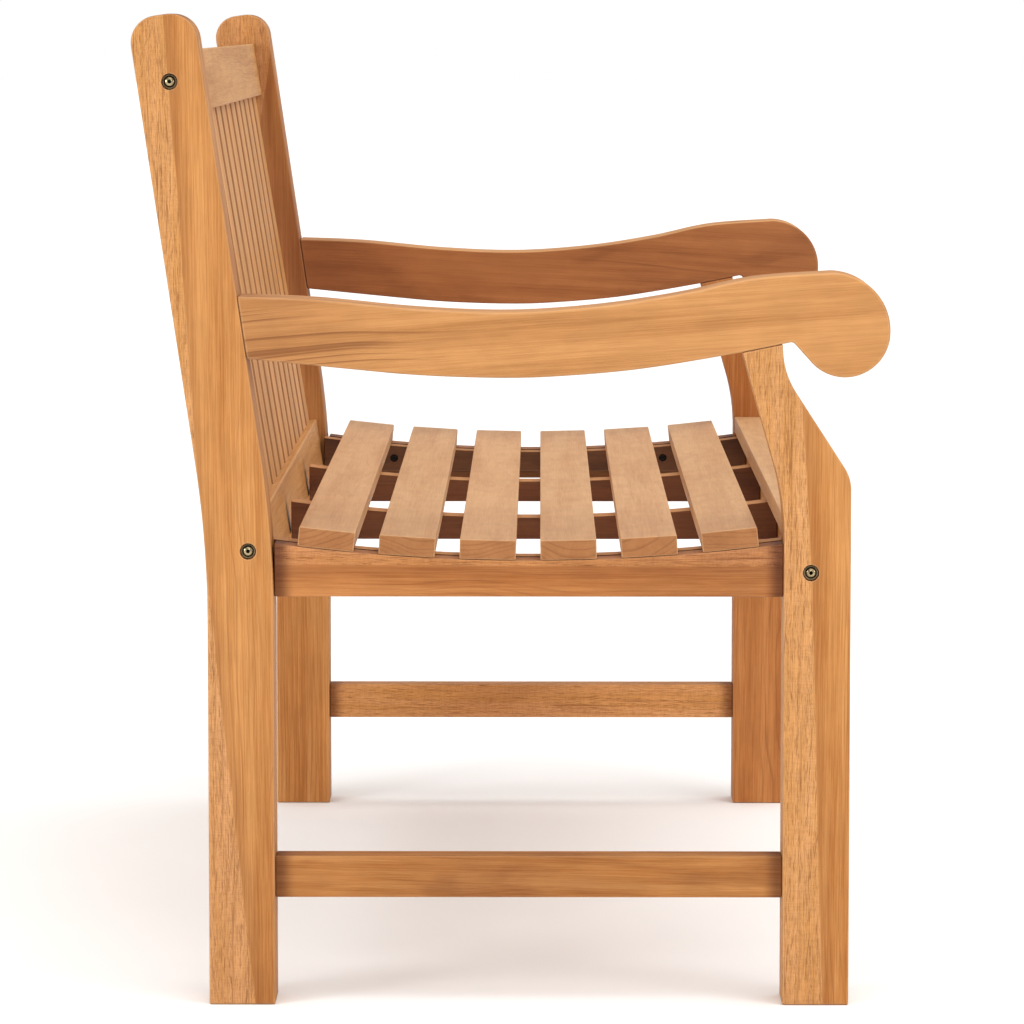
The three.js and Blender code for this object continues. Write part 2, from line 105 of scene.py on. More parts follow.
def spline(points, steps):
    """Catmull-Rom curve through the points."""
    out, last = [points[0]], len(points) - 1
    for i in range(last):
        p = [points[max(i - 1, 0)], points[i], points[i + 1], points[min(i + 2, last)]]
        for k in range(1, steps + 1):
            t = k / steps
            xy = []
            for c in (0, 1):
                v0, v1 = (p[2][c] - p[0][c]) / 2, (p[3][c] - p[1][c]) / 2
                xy.append((2 * p[1][c] - 2 * p[2][c] + v0 + v1) * t ** 3
                          + (-3 * p[1][c] + 3 * p[2][c] - 2 * v0 - v1) * t ** 2 + v0 * t + p[1][c])
            out.append(tuple(xy))
    return out


def filleted(points, steps=14):
    """Polygon whose corners with a third number are rounded to that radius."""
    out = []
    for i, point in enumerate(points):
        here = Vector(point[:2])
        if len(point) < 3:
            out.append(tuple(here))
            continue
        back = (Vector(points[i - 1][:2]) - here).normalized()
        on = (Vector(points[(i + 1) % len(points)][:2]) - here).normalized()
        half = back.angle(on) / 2
        start = here + back * point[2] / tan(half)
        end = here + on * point[2] / tan(half)
        centre = here + (back + on).normalized() * point[2] / sin(half)
        a0 = math.atan2(start.y - centre.y, start.x - centre.x)
        a1 = math.atan2(end.y - centre.y, end.x - centre.x)
        turn = (a1 - a0 + pi) % (2 * pi) - pi
        out += arc(centre.x, centre.y, point[2], a0, a0 + turn, steps)
    return out


def back_post_outline():
    c, s = cos(POST_RAKE), sin(POST_RAKE)
    centre_f, mid_r = POST_REAR - POST_BEND_R, POST_BEND_R + LEG_W / 2
    half = LEG_W / 2 - POST_CROWN_R

    def on_axis(across, along):
        return (centre_f + (mid_r + across) * c - along * s,
                POST_BEND_START + (mid_r + across) * s + along * c)
    along = (HEIGHT - POST_CROWN_R - on_axis(half, 0)[1]) / c
    front, rear = on_axis(half, along), on_axis(-half, along)
    return ([(POST_REAR, 0), (POST_FRONT, 0)]
            + arc(centre_f, POST_BEND_START, POST_BEND_R + LEG_W, 0, POST_RAKE, 14)
            + arc(*front, POST_CROWN_R, POST_RAKE, POST_RAKE + pi / 2, 12)
            + arc(*rear, POST_CROWN_R, POST_RAKE + pi / 2, POST_RAKE + pi, 12)
            + arc(centre_f, POST_BEND_START, POST_BEND_R, POST_RAKE, 0, 14))


def arm_end(z):
    return post_front(z) + GAP, z


def arm_underside():
    return spline([arm_end(ARM_END_LOW)] + UNDER[::-1], 10)


def arm_outline():
    scroll = arc(*SCROLL, SCROLL_END, 0, 26)
    crest = arc(*CREST, 0, pi / 2, 20)
    over = spline([crest[-1]] + OVER[::-1] + [arm_end(ARM_END_HIGH)], 10)
    return arm_underside() + scroll + crest + over[1:]


def arm_under(f):
    """Height of the arm's underside at a place along the depth."""
    line = arm_underside()
    for (f0, z0), (f1, z1) in zip(line, line[1:]):
        if f0 <= f <= f1:
            return z0 + (z1 - z0) * (f - f0) / (f1 - f0)
    return line[-1][1]


def front_post_outline():
    top = [(f, arm_under(f) - GAP) for f in (NECK_FRONT, NECK_REAR)]
    return filleted([(FRONT_REAR, 0), (FRONT_FRONT, 0), (FRONT_FRONT, FRONT_KNEE_Z, FRONT_KNEE_R), THROAT,
                     *top, (FRONT_REAR, REAR_KNEE_Z, REAR_KNEE_R)])


def dished_outline(f0, f1, z0):
    """Board with a flat underside whose top follows the seat's hollow."""
    steps = 24
    top = [(f1 + (f0 - f1) * i / steps, dish(f1 + (f0 - f1) * i / steps)) for i in range(steps + 1)]
    return [(f0, z0), (f1, z0)] + top


def box_outline(x0, x1, y0, y1):
    return [(x0, y0), (x1, y0), (x1, y1), (x0, y1)]


# ---------------------------------------------------------------- placing
def basis(a, b, c, origin=(0, 0, 0)):
    """Matrix that takes (a, b, c) millimetres to the bench frame in metres."""
    m = Matrix([Vector(v) * MM for v in (a, b, c)]).transposed().to_4x4()
    m.translation = Vector(origin) * MM
    return m


def side_place(x):
    """Side outlines (forward, up) with their thickness along X."""
    return basis((0, -1, 0), (0, 0, 1), (-1, 0, 0), (x, 0, 0))


def turn_x(angle, origin):
    """Millimetres turned about X and moved, in the bench frame in metres."""
    m = Matrix.Rotation(angle, 4, "X")
    m.translation = Vector(origin) * MM
    return m @ Matrix.Scale(MM, 4)


# outline (y, z) with the length along x, and outline (x, z) with the thickness along y
CROSS = Matrix(((0, 0, 1, 0), (1, 0, 0, 0), (0, 1, 0, 0), (0, 0, 0, 1)))
ON_EDGE = Matrix(((1, 0, 0, 0), (0, 0, -1, 0), (0, 1, 0, 0), (0, 0, 0, 1)))
PANEL = turn_x(-PANEL_RAKE, (0, -PANEL_FOOT[0], PANEL_FOOT[1]))


# ---------------------------------------------------------------- boards
def log_place(grain, pith, run, tilt=0.0):
    """Where a board was sawn from its log: board millimetres to log millimetres, trunk along z.

    grain is the board axis (0, 1 or 2) that follows the trunk, pith the distance to the log's centre
    along the other two axes, run a place along the trunk, tilt the slope of the grain.
    """
    others = [i for i in range(3) if i != grain]
    rows = [[1.0 if i == k else 0.0 for i in range(3)] for k in (others[0], others[1], grain)]
    m = Matrix(rows).to_4x4()
    m.translation = Vector((-pith[0], -pith[1], run))
    return Matrix.Rotation(tilt, 4, "Y") @ m


def store(mesh, name, kind, domain, values):
    layer = mesh.attributes.new(name, kind, domain)
    key = "vector" if kind == "FLOAT_VECTOR" else "value"
    layer.data.foreach_set(key, [c for v in values for c in v] if key == "vector" else values)


def link(name, data):
    obj = bpy.data.objects.new(name, data)
    bpy.context.scene.collection.objects.link(obj)
    return obj


def solid(bm, name, place=None):
    """Object made of a bmesh, which is used up."""
    mesh = bpy.data.meshes.new(name)
    bm.to_mesh(mesh)
    bm.free()
    if place is not None:
        mesh.transform(place)
    return link(name, mesh)


def applied(obj):
    """Carry the object's modifiers out on its mesh."""
    graph = bpy.context.evaluated_depsgraph_get()
    mesh = bpy.data.meshes.new_from_object(obj.evaluated_get(graph), preserve_all_data_layers=True,
                                           depsgraph=graph)
    obj.modifiers.clear()
    old, obj.data = obj.data, mesh
    bpy.data.meshes.remove(old)
    mesh.name = obj.name


def carve(obj, cutters):
    """Cut the cutters out of the object; they are used up."""
    for cutter in cutters:
        cut = obj.modifiers.new("cut", "BOOLEAN")
        cut.operation, cut.solver, cut.object = "DIFFERENCE", "EXACT", cutter
    if cutters:
        applied(obj)
    for cutter in cutters:
        bpy.data.objects.remove(cutter)


EASE = 1.8                                  # rounding of a sawn board's arrises
ARRIS, CREASE = radians(25), radians(50)    # arrises are eased, creases stay crisp in the shading
FACING = 0.6                                # how squarely a face looks along a direction to count
BAND_LEAN, HEART_SHADE_FADE = 0.3, 0.35           # how the band, and the heartwood and painted shade, change through the thickness
TRUNK_START, TRUNK_SPAN = 0.6, 0.35         # where a face across the trunk starts to count as end grain
NO_BAND, NO_ENDS = -99.0, (-99, -99, 0.0)


def board(name, outline, thick, place, log, material, ease=EASE, tone=(1.0, 0.0, 0.0), facing=(), band=None,
          lines=(0.0, 0.0), heartwood_and_shade=(0, 0.0, 1.0, 0.0), ends=NO_ENDS, cutters=()):
    """Sawn and eased board: outline in its own plane, thickness across it.

    tone is (lightness, redness, figure), the wood's own colour with painted shade on shaded boards; facing
    gives other tones to faces that look along a direction, painted light on tops and painted shade on faces
    turned from the light.
    band tells how far an outline point lies inside the open-grained paler wood. lines is (slope, zero) of
    the ramp along the board that brings its growth lines out. heart is (axis, centre, reach, depth) of a
    darker stretch, heartwood on some boards and painted shade on others. Both fade from the face at +thick /
    2 to the one behind it.
    ends is (low, high, depth) of the painted shade where the board runs into its joints. cutters are used
    up.
    """
    bm = bmesh.new()
    half = thick / 2
    rings = [[bm.verts.new((a, b, c)) for a, b in outline] for c in (-half, half)]
    bm.faces.new(rings[0][::-1])
    bm.faces.new(rings[1])
    count = len(outline)
    for i in range(count):
        j = (i + 1) % count
        bm.faces.new((rings[0][i], rings[0][j], rings[1][j], rings[1][i]))
    bmesh.ops.remove_doubles(bm, verts=bm.verts, dist=0.01)
    bmesh.ops.recalc_face_normals(bm, faces=bm.faces)
    worn_and_highlight = bm.faces.layers.float.new("worn_and_highlight")
    sharp = [e for e in bm.edges if len(e.link_faces) == 2 and e.calc_face_angle() > ARRIS]
    made = bmesh.ops.bevel(bm, geom=sharp, offset=ease, segments=3, profile=0.5, affect="EDGES",
                           clamp_overlap=True)
    for face in made["faces"]:
        face[worn_and_highlight] = 1.0
    obj = solid(bm, name)
    carve(obj, cutters)
    mesh = obj.data
    spots = [v.co.copy() for v in mesh.vertices]
    normals = [p.normal.copy() for p in mesh.polygons]
    store(mesh, "wood", "FLOAT_VECTOR", "POINT", [log @ v for v in spots])
    store(mesh, "tone", "FLOAT_VECTOR", "FACE",
          [next((t for way, t in facing if n.dot(Vector(way)) > FACING), tone) for n in normals])
    store(mesh, "band", "FLOAT", "POINT",
          [band(v.x, v.y) - BAND_LEAN * (half - v.z) if band else NO_BAND for v in spots])
    store(mesh, "lines", "FLOAT", "POINT", [(v.x - lines[1]) * lines[0] for v in spots])
    axis, centre, reach, depth = heartwood_and_shade
    store(mesh, "heartwood_and_shade", "FLOAT_VECTOR", "POINT",
          [((v[axis] - centre) / reach, depth * (1 - HEART_SHADE_FADE * (1 - v.z / half)), 0.0) for v in spots])
    store(mesh, "ends", "FLOAT_VECTOR", "POINT", [(v.x - ends[0], ends[1] - v.x, ends[2]) for v in spots])
    trunk = (log.to_3x3().inverted() @ Vector((0, 0, 1))).normalized()
    store(mesh, "endgrain", "FLOAT", "FACE",
          [min(max((abs(n.dot(trunk)) - TRUNK_START) / TRUNK_SPAN, 0.0), 1.0) for n in normals])
    mesh.transform(place)
    for p in mesh.polygons:
        p.use_smooth = True
    mesh.set_sharp_from_angle(angle=CREASE)
    even = obj.modifiers.new("even", "WEIGHTED_NORMAL")
    even.keep_sharp, even.weight = True, 90
    applied(obj)
    finish_piece(obj, name, material)


def finish_piece(obj, node, material):
    """Give the piece its material and body, name it after the CAD node it stands for and hide that node."""
    obj.data.materials.clear()
    obj.data.materials.append(material)
    obj.name = obj.data.name = "fine_" + node
    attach(obj, "root")
    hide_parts(node)


# ---------------------------------------------------------------- turned pieces and cutters
def ring_of(sides, radius, twist=0.0):
    turns = [twist + 2 * pi * i / sides for i in range(sides)]
    return [(radius * cos(turn), radius * sin(turn)) for turn in turns]


def lathe(profile, segments):
    """Profile of (radius, along) turned about z, with its ends on the axis closed by fans."""
    bm = bmesh.new()
    rows = []
    for r, along in profile:
        if r < 1e-6:
            rows.append([bm.verts.new((0, 0, along))])
        else:
            rows.append([bm.verts.new((x, y, along)) for x, y in ring_of(segments, r)])
    for low, high in zip(rows, rows[1:]):
        for i in range(segments):
            j = (i + 1) % segments
            a, b = low[i % len(low)], low[j % len(low)]
            c, d = high[j % len(high)], high[i % len(high)]
            corners = [v for k, v in enumerate((a, b, c, d)) if v not in (a, b, c, d)[:k]]
            if len(corners) > 2:
                bm.faces.new(corners)
    bmesh.ops.recalc_face_normals(bm, faces=bm.faces)
    return bm


def prism(sides, radius, low, high, twist):
    bm = bmesh.new()
    ring = [[bm.verts.new((x, y, z)) for x, y in ring_of(sides, radius, twist)] for z in (low, high)]
    bm.faces.new(ring[0][::-1])
    bm.faces.new(ring[1])
    for i in range(sides):
        j = (i + 1) % sides
        bm.faces.new((ring[0][i], ring[0][j], ring[1][j], ring[1][i]))
    return bm


def bar(size, place):
    """Cutter block of this size."""
    bm = bmesh.new()
    bmesh.ops.create_cube(bm, size=1.0, matrix=place @ Matrix.Diagonal((*size, 1)))
    return solid(bm, "cutter")


# ---------------------------------------------------------------- materials
def linear(code):
    """'#rrggbb' as a linear colour."""
    out = []
    for i in (1, 3, 5):
        c = int(code[i:i + 2], 16) / 255
        out.append(c / 12.92 if c <= 0.04045 else ((c + 0.055) / 1.055) ** 2.4)
    return (*out, 1.0)


class Nodes:
    """Short hand for building a node tree."""

    def __init__(self, name):
        self.material = bpy.data.materials.new(name)
        self.material.use_nodes = True
        self.tree = self.material.node_tree
        self.shader = self.tree.nodes["Principled BSDF"]

    def add(self, kind, ins=(), **props):
        node = self.tree.nodes.new("ShaderNode" + kind)
        for key, value in props.items():
            setattr(node, key, value)
        for key, value in dict(ins).items():
            self.feed(node.inputs[key], value)
        return node

    def feed(self, socket, value):
        """Link a socket, or set it where the value is a constant."""
        if isinstance(value, bpy.types.NodeSocket):
            self.tree.links.new(value, socket)
        else:
            socket.default_value = value

    def math(self, op, a, b=0.0, c=0.0, clamp=False):
        return self.add("Math", {0: a, 1: b, 2: c}, operation=op, use_clamp=clamp).outputs[0]

    def scale(self, vector, by):
        return self.add("VectorMath", {0: vector, 1: by}, operation="MULTIPLY").outputs[0]

    def noise(self, vector, detail=2.0, rough=0.5, out="Fac", scale=1.0, distortion=0.0):
        node = self.add("TexNoise", {"Vector": vector, "Scale": scale, "Detail": detail,
                                     "Roughness": rough, "Distortion": distortion})
        return node.outputs[out]

    def times(self, a, b):
        return self.math("MULTIPLY", a, b)

    def attribute(self, name, out="Fac"):
        return self.add("Attribute", attribute_name=name).outputs[out]

    def parts(self, name):
        """X, Y and Z of a vector attribute."""
        return self.add("SeparateXYZ", {0: self.attribute(name, "Vector")}).outputs

    def step(self, value, low, high, to_low=0.0, to_high=1.0):
        return self.add("MapRange", {"Value": value, "From Min": low, "From Max": high, "To Min": to_low,
                                     "To Max": to_high}, interpolation_type="SMOOTHSTEP").outputs[0]

    def mix(self, fac, a, b, blend="MIX"):
        node = self.add("Mix", data_type="RGBA", blend_type=blend, clamp_factor=True)
        for socket, value in zip((0, 6, 7), (fac, a, b)):
            self.feed(node.inputs[socket], value)
        return node.outputs[2]

    def stain(self, fac, colour, tint):
        """Multiply the colour by the tint, as far as fac says."""
        return self.mix(fac, colour, self.mix(1.0, colour, tint, "MULTIPLY"))

    def set(self, **ins):
        for key, value in ins.items():
            self.feed(self.shader.inputs[key.replace("_", " ")], value)


SWAY = (44, 44, 0)                          # how far the growth rings wander, mm
BLUSH_WIDTH, BLUSH = 16.0, 0.26             # reddish wood beside the open-grained band
JOINT_SHADE_FULL, JOINT_SHADE_GONE = 4.0, 19.0          # painted shade at the joints, mm from the board's end
OPEN_PORES, TEAK_ROUGH = 0.62, 0.56
DUSK_TINT, JOINT_SHADE_TINT = (0.48, 0.36, 0.34, 1.0), (0.36, 0.27, 0.25, 1.0)
END_TINT, WHITE = (0.56, 0.41, 0.28, 1.0), (1, 1, 1, 1)
RUBBED_AND_HIGHLIGHT, GRIME_AND_SHADE = linear("#f0cfa4"), linear("#0e0c0a")


def teak(name, pale, dark, line, open_pale, open_dark, ring, ring_mix, pore_mix, stripe_mix, fibre_mix=0.5):
    """Oiled teak that reads each board's place in the log, its tone with painted shade and painted light,
    and its band of open-grained wood.
    """
    n = Nodes(name)
    wood = n.attribute("wood", "Vector")
    tone, heartwood_and_shade, ends = n.parts("tone"), n.parts("heartwood_and_shade"), n.parts("ends")
    band, lines, worn_and_highlight, endgrain = [n.attribute(key) for key in ("band", "lines", "worn_and_highlight", "endgrain")]

    # growth rings, wandering along the trunk
    sway = n.noise(n.scale(wood, (0.012, 0.012, 0.0035)), 2.0, 0.4, "Color")
    sway = n.add("VectorMath", {0: sway, 1: (0.5, 0.5, 0.5)}, operation="SUBTRACT").outputs[0]
    sway = n.scale(sway, SWAY)
    flat = n.add("VectorMath", {0: n.scale(wood, (1, 1, 0)), 1: sway}, operation="ADD").outputs[0]
    radius = n.add("VectorMath", {0: flat}, operation="LENGTH").outputs["Value"]
    uneven = n.noise(n.add("CombineXYZ", {"X": n.times(radius, 0.06)}).outputs[0], 1.0)
    turns = n.math("ADD", n.math("DIVIDE", radius, ring), n.times(uneven, 3.4))
    phase = n.math("FRACT", turns)
    late = n.times(n.step(phase, 0.66, 0.93), n.step(phase, 0.94, 1.0, 1.0, 0.0))
    strength = n.math("ADD", n.noise(n.scale(wood, (0.03, 0.03, 0.0022)), 1.0), lines)
    strength = n.math("MAXIMUM", n.step(strength, 0.42, 0.62, 0.05, 1.0), endgrain)
    rings = n.times(late, strength)

    # long fibre stripes, short pores, fine threads and the cross-grain figure
    stripe = n.noise(n.scale(wood, (0.16, 0.16, 0.0030)), 3.0, 0.55)
    fibre = n.noise(n.scale(wood, (0.95, 0.95, 0.016)), 3.0, 0.62)
    pore = n.noise(n.scale(wood, (1.7, 1.7, 0.1)), 2.0, 0.7)
    thread = n.noise(n.scale(wood, (0.13, 0.13, 0.004)), 1.5, 0.5)
    thread = n.step(n.math("ABSOLUTE", n.math("SUBTRACT", thread, 0.5)), 0.002, 0.014, 1.0, 0.0)
    ripple = n.noise(n.scale(wood, (0.11, 0.11, 0.75)), 2.0, 0.6)
    crowd = n.step(phase, 0.0, 0.7, 1.0, 0.5)
    figure = n.noise(n.scale(wood, (0.028, 0.028, 0.0075)), 2.5, 0.55, distortion=0.8)
    mottle = n.noise(n.scale(wood, (0.06, 0.06, 0.03)), 2.0, 0.5)
    broad = n.noise(n.scale(wood, (0.045, 0.045, 0.0022)), 2.0, 0.5)
    waver = n.math("SUBTRACT", stripe, 0.5)

    # side is 1 in the open-grained band and 0 in the smooth wood
    side = n.step(n.math("ADD", band, n.times(waver, 5.0)), -0.8, 0.8)
    share = n.math("ADD", n.times(side, OPEN_PORES), pore_mix)
    pores = n.math("MULTIPLY", n.step(pore, 0.48, 0.66), n.times(crowd, share), clamp=True)

    depth = n.math("ADD", n.times(n.step(stripe, 0.32, 0.7), stripe_mix),
                   n.times(n.step(fibre, 0.34, 0.68), fibre_mix))
    depth = n.math("ADD", depth, n.step(broad, 0.35, 0.7, -0.2, 0.32), clamp=True)
    colour = n.mix(side, n.mix(depth, pale, dark), n.mix(depth, open_pale, open_dark))
    blush = n.math("SUBTRACT", n.step(band, -BLUSH_WIDTH, -1.0), side, clamp=True)
    colour = n.mix(n.times(blush, BLUSH), colour, line)
    colour = n.mix(n.times(side, n.step(ripple, 0.42, 0.64, 0.0, 0.2)), colour, dark)

    # darker heartwood and painted shade, figure, growth lines, pores and threads
    edge = n.math("ADD", n.math("ABSOLUTE", heartwood_and_shade["X"]), n.times(waver, 0.8))
    dusk = n.times(n.step(edge, 0.0, 1.0, 1.0, 0.0), heartwood_and_shade["Y"])
    colour = n.stain(dusk, colour, DUSK_TINT)
    flame = n.times(n.step(figure, 0.46, 0.68), tone["Z"])
    colour = n.mix(n.times(flame, 0.75), colour, line)
    shown = n.math("ADD", n.times(endgrain, 0.3), ring_mix, clamp=True)
    colour = n.mix(n.times(rings, shown), colour, line)
    colour = n.mix(pores, colour, line)
    colour = n.mix(n.times(n.times(thread, side), n.step(fibre, 0.35, 0.6, 0.1, 0.6)), colour, line)
    colour = n.mix(n.step(mottle, 0.35, 0.7, 0.0, 0.08), colour, WHITE, "OVERLAY")

    # end grain drinks the oil and goes darker; eased arrises rub paler and carry a painted highlight
    colour = n.mix(endgrain, colour, END_TINT, "MULTIPLY")
    colour = n.mix(n.times(worn_and_highlight, n.step(fibre, 0.3, 0.7, 0.02, 0.13)), colour, RUBBED_AND_HIGHLIGHT)
    # painted shade: a board's ends are darker where it runs into its joints beside prouder pieces
    joint_shade = n.math("MAXIMUM", *[n.step(ends[key], JOINT_SHADE_FULL, JOINT_SHADE_GONE, 1.0, 0.0) for key in "XY"])
    colour = n.stain(n.times(joint_shade, ends["Z"]), colour, JOINT_SHADE_TINT)
    # the board's tone, its own colour with painted shade and painted light laid in: lightness in red, less
    # redness in green, a little less again in blue
    deep = n.math("SUBTRACT", tone["X"], tone["Y"])
    deeper = n.math("SUBTRACT", deep, n.times(tone["Y"], 0.25))
    warm = n.add("CombineColor", {"Red": tone["X"], "Green": deep, "Blue": deeper}).outputs[0]
    colour = n.mix(1.0, colour, warm, "MULTIPLY")

    gloss = n.math("ADD", n.times(fibre, 0.16), n.times(pores, 0.14))
    gloss = n.math("ADD", gloss, TEAK_ROUGH - 0.08, clamp=True)
    height = n.math("SUBTRACT", n.times(fibre, 0.7), n.times(pores, 1.4))
    height = n.math("SUBTRACT", height, n.times(rings, 0.3))
    bump = n.add("Bump", {"Height": height, "Strength": 0.6, "Distance": 0.0004}).outputs[0]
    n.set(Base_Color=colour, Roughness=gloss, Normal=bump, IOR=1.47, Specular_IOR_Level=0.28)
    return n.material


def metal(name, bright, tarnish, rough):
    """Tarnished metal, brighter on its edges, black or dull where the grime attribute says, which paints
    shade into the socket and round the dome.
    """
    n = Nodes(name)
    spot = n.add("TexCoord").outputs["Object"]
    cloud = n.noise(spot, 4.0, 0.6, scale=420.0)
    fine = n.noise(n.scale(spot, (1.0, 1.0, 0.15)), 3.0, 0.6, scale=2700.0)
    wear = n.step(n.add("NewGeometry").outputs["Pointiness"], 0.47, 0.55)
    colour = n.mix(n.times(n.step(cloud, 0.35, 0.65), 0.75), bright, tarnish)
    colour = n.mix(n.times(wear, 0.65), colour, bright)
    colour = n.mix(n.attribute("grime_and_shade"), colour, GRIME_AND_SHADE)
    gloss = n.math("ADD", n.times(cloud, 0.25), n.times(fine, 0.12))
    gloss = n.math("ADD", gloss, rough - 0.18, clamp=True)
    bump = n.add("Bump", {"Height": fine, "Strength": 0.25, "Distance": 0.00008}).outputs[0]
    n.set(Base_Color=colour, Roughness=gloss, Normal=bump, Metallic=1.0)
    return n.material


FRAME = teak("fine_teak_frame", linear("#bc844a"), linear("#9a5e26"), linear("#754019"),
             linear("#c6905d"), linear("#b78044"), ring=5.0, ring_mix=0.35, pore_mix=0.1, stripe_mix=0.4)
ARM = teak("fine_teak_arm", linear("#bb854f"), linear("#996432"), linear("#74431f"),
           linear("#bb854f"), linear("#996432"), ring=10.5, ring_mix=0.75, pore_mix=0.08, stripe_mix=0.28,
           fibre_mix=0.34)
SEAT = teak("fine_teak_seat", linear("#c79b6f"), linear("#b8895e"), linear("#8d5c3a"),
            linear("#bf9468"), linear("#b08053"), ring=5.5, ring_mix=0.12, pore_mix=0.1, stripe_mix=0.3)
BACK = teak("fine_teak_back", linear("#c8945b"), linear("#ae773e"), linear("#7c4e2b"),
            linear("#c99255"), linear("#b57b40"), ring=5.0, ring_mix=0.3, pore_mix=0.15, stripe_mix=0.35)
BRASS = metal("fine_aged_brass", linear("#b3a17c"), linear("#5c4a2c"), 0.2)
STEEL = metal("fine_dark_steel", linear("#2a2725"), linear("#0e0d0c"), 0.42)


# ---------------------------------------------------------------- holes
HALF_TURN = Matrix.Rotation(pi, 4, "X")
INTO_REAR = Matrix.Rotation(-pi / 2, 4, "X")
RIM_RUB_AND_HIGHLIGHT = 3.0           # the rims of the bolt holes are rubbed paler than the arrises, with a painted highlight on the rim


def sink_cutter(f, z, side):
    """Bolt hole cutter in the leg's own outline frame, where depth runs along -X."""
    rim_low, rim_high, above = -0.4, 0.05, 3
    wide = SINK_R + SINK_CHAMFER
    profile = [(0, -SINK_DEPTH), (SINK_R, -SINK_DEPTH), (SINK_R, rim_low), (wide, rim_high),
               (wide, above), (0, above)]
    bm = lathe(profile, 40)
    worn_and_highlight = bm.faces.layers.float.new("worn_and_highlight")
    for face in bm.faces:
        face[worn_and_highlight] = RIM_RUB_AND_HIGHLIGHT if rim_low < face.calc_center_median().z < rim_high else 0.0
    place = Matrix.Translation((f, z, -side * LEG_T / 2))
    return solid(bm, "cutter", place @ HALF_TURN if side > 0 else place)


def screw_sink(f, z, side):
    """Counterbore in the inner face of an end bearer, in the bearer's own outline frame."""
    profile = [(0, -SCREW_SINK_DEPTH), (SCREW_SINK_R, -SCREW_SINK_DEPTH), (SCREW_SINK_R, 3), (0, 3)]
    place = Matrix.Translation((f, z, side * END_BEARER_T / 2))
    return solid(lathe(profile, 28), "cutter", place if side > 0 else place @ HALF_TURN)


def nut_hole(x, z, depth):
    """Blind hole drilled from the rear face (+y) of a rail, in the rail's own outline frame."""
    end, radius = -NUT_LENGTH / 2 - GAP, NUT_R + 0.25
    profile = [(0, end), (radius, end), (radius, depth), (0, depth)]
    return solid(lathe(profile, 32), "cutter", CROSS.inverted() @ Matrix.Translation((x, 0, z)) @ INTO_REAR)


# ---------------------------------------------------------------- side frames
def back_post_band(f, z):
    return -f - 233 - 0.0886 * z - 8 * sin(pi * z / HEIGHT) ** 2


def crown_band(f, z):
    return 0.155 * z - 412 - f


def front_post_band(f, z):
    return 284 - 0.0103 * z - 5.3e-5 * z ** 2 - f


def apron_band(f, z):
    return z - 401


def all_band(f, z):
    return LEG_W


# the wood of each side frame's boards, as board() takes it
WOOD = {
    "right": {
        "back_post": dict(log=log_place(1, (-180, 60), 900, 0.012), tone=(0.97, 0.0, 0.0),
                          heartwood_and_shade=(1, 0, 480, 0.15), band=back_post_band),
        "front_post": dict(log=log_place(1, (330, 120), 7700, -0.01), band=front_post_band),
        "arm": dict(log=log_place(0, (430, 60), 520, -0.07), tone=(0.97, 0.0, 0.0),
                    heartwood_and_shade=(0, -215, 120, 0.3), lines=(-0.0019, -120)),
        "side_apron": dict(log=log_place(0, (330, -50), 1300, 0.006)),
        "side_stretcher": dict(log=log_place(0, (20, 90), 6400, 0.02), tone=(0.86, 0.02, 0.5)),
    },
    "left": {
        # the far back post's darker stretch towards the arm is painted shade on its inner face
        "back_post": dict(log=log_place(1, (20, -45), 4200, 0.012), tone=(1.06, 0.03, 0.2),
                          heartwood_and_shade=(1, 630, 330, 0.95), band=crown_band),
        "front_post": dict(log=log_place(1, (262, -40), 5200, -0.01), tone=(0.95, 0.12, 0.15)),
        # the far arm's dark tone is partly painted shade, as it lies further from the light
        "arm": dict(log=log_place(0, (600, 70), 2600, 0.05), tone=(0.71, 0.15, 0.4),
                    heartwood_and_shade=(0, -215, 120, 0.5), lines=(0.0005, 350)),
        "side_apron": dict(log=log_place(0, (330, -50), 5600, 0.006)),
        "side_stretcher": dict(log=log_place(0, (20, 90), 8100, 0.02), tone=(1.16, 0.04, 0.2),
                               band=all_band),
    },
}
POST_EASE, RAIL_EASE, BEARER_EASE, ARM_EASE, SLAT_EASE = 1.3, 0.9, 1.2, 2.0, 1.1
UP, INNER_SIDE = (0, 1, 0), {-1: (0, 0, -1), 1: (0, 0, 1)}
# bearer faces take dark tones as painted shade under the seat slats; their tops take a pale tone, painted
# light through the gaps
BEARER_TOP = (UP, (0.95, 0.06, 0.1))

